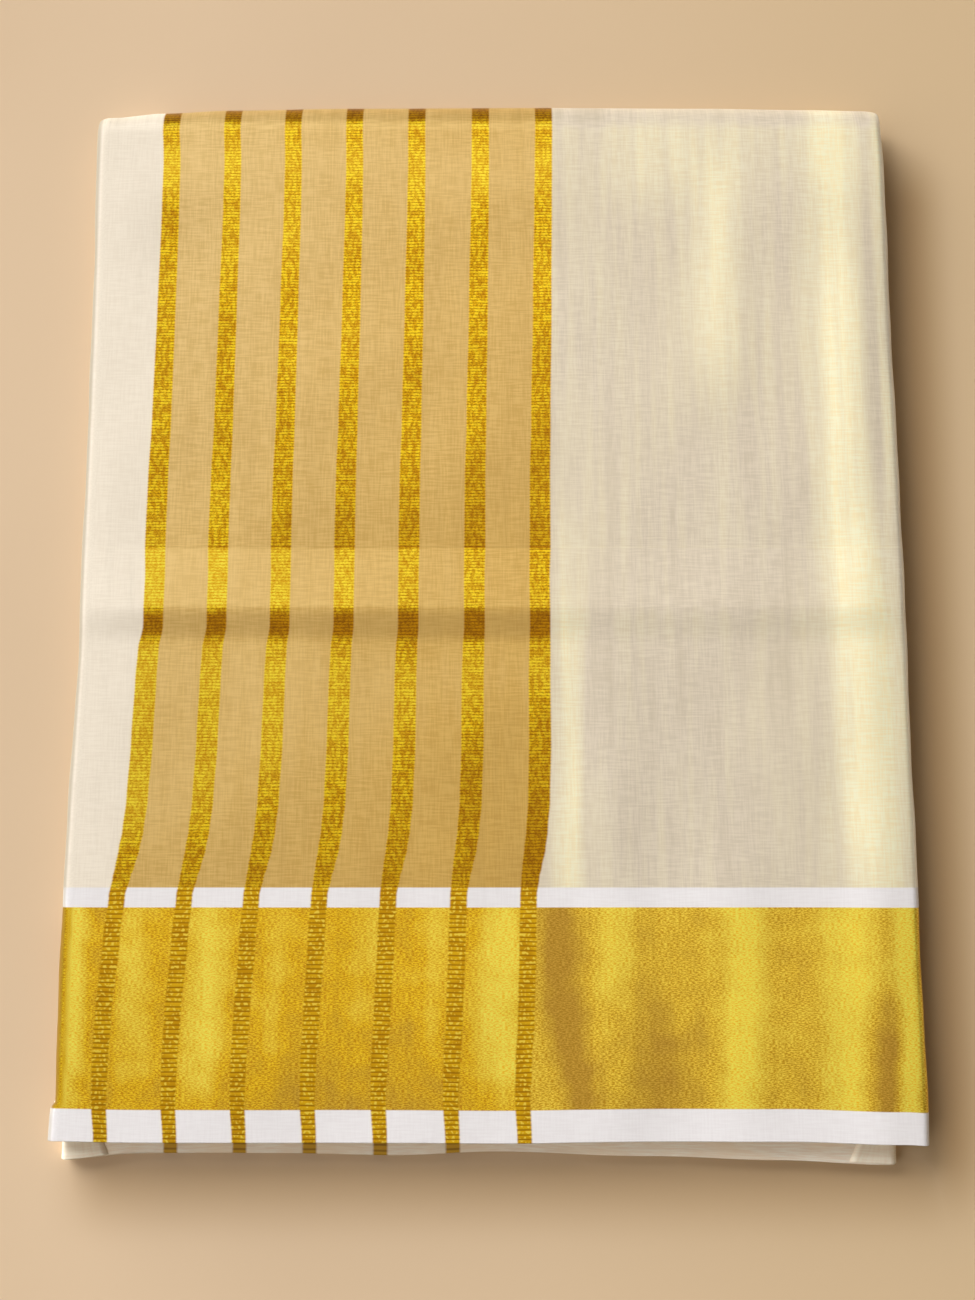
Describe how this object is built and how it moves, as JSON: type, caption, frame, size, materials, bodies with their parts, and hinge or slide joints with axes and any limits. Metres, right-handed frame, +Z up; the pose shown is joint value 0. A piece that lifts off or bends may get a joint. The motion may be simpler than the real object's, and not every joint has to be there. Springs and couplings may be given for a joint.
{
  "type": "folded tissue saree",
  "caption": "Tissue saree folded flat into a rectangle, cream cloth with woven gold bands, a broad gold border and white selvedges, resting on its flat underside.",
  "frame": {"origin": "centre of the bounding box on the surface that the folded saree lies on", "axes": "+X to the right along the near selvedge, +Y from the near selvedge to the far fold, +Z up out of the face"},
  "size_m": [0.4638, 0.598, 0.0205],
  "materials": {
    "outer_cloth": "fine tissue of cream cotton and gold zari with a soft metallic sheen, gold bands and border",
    "layer_cloth": "edges of folded cream tissue and white selvedge"
  },
  "bodies": {
    "root": {"face_panel": "outer_cloth", "far_fold": "outer_cloth", "back_panel": "outer_cloth", "hidden_layers": "layer_cloth"}
  },
  "joints": []
}
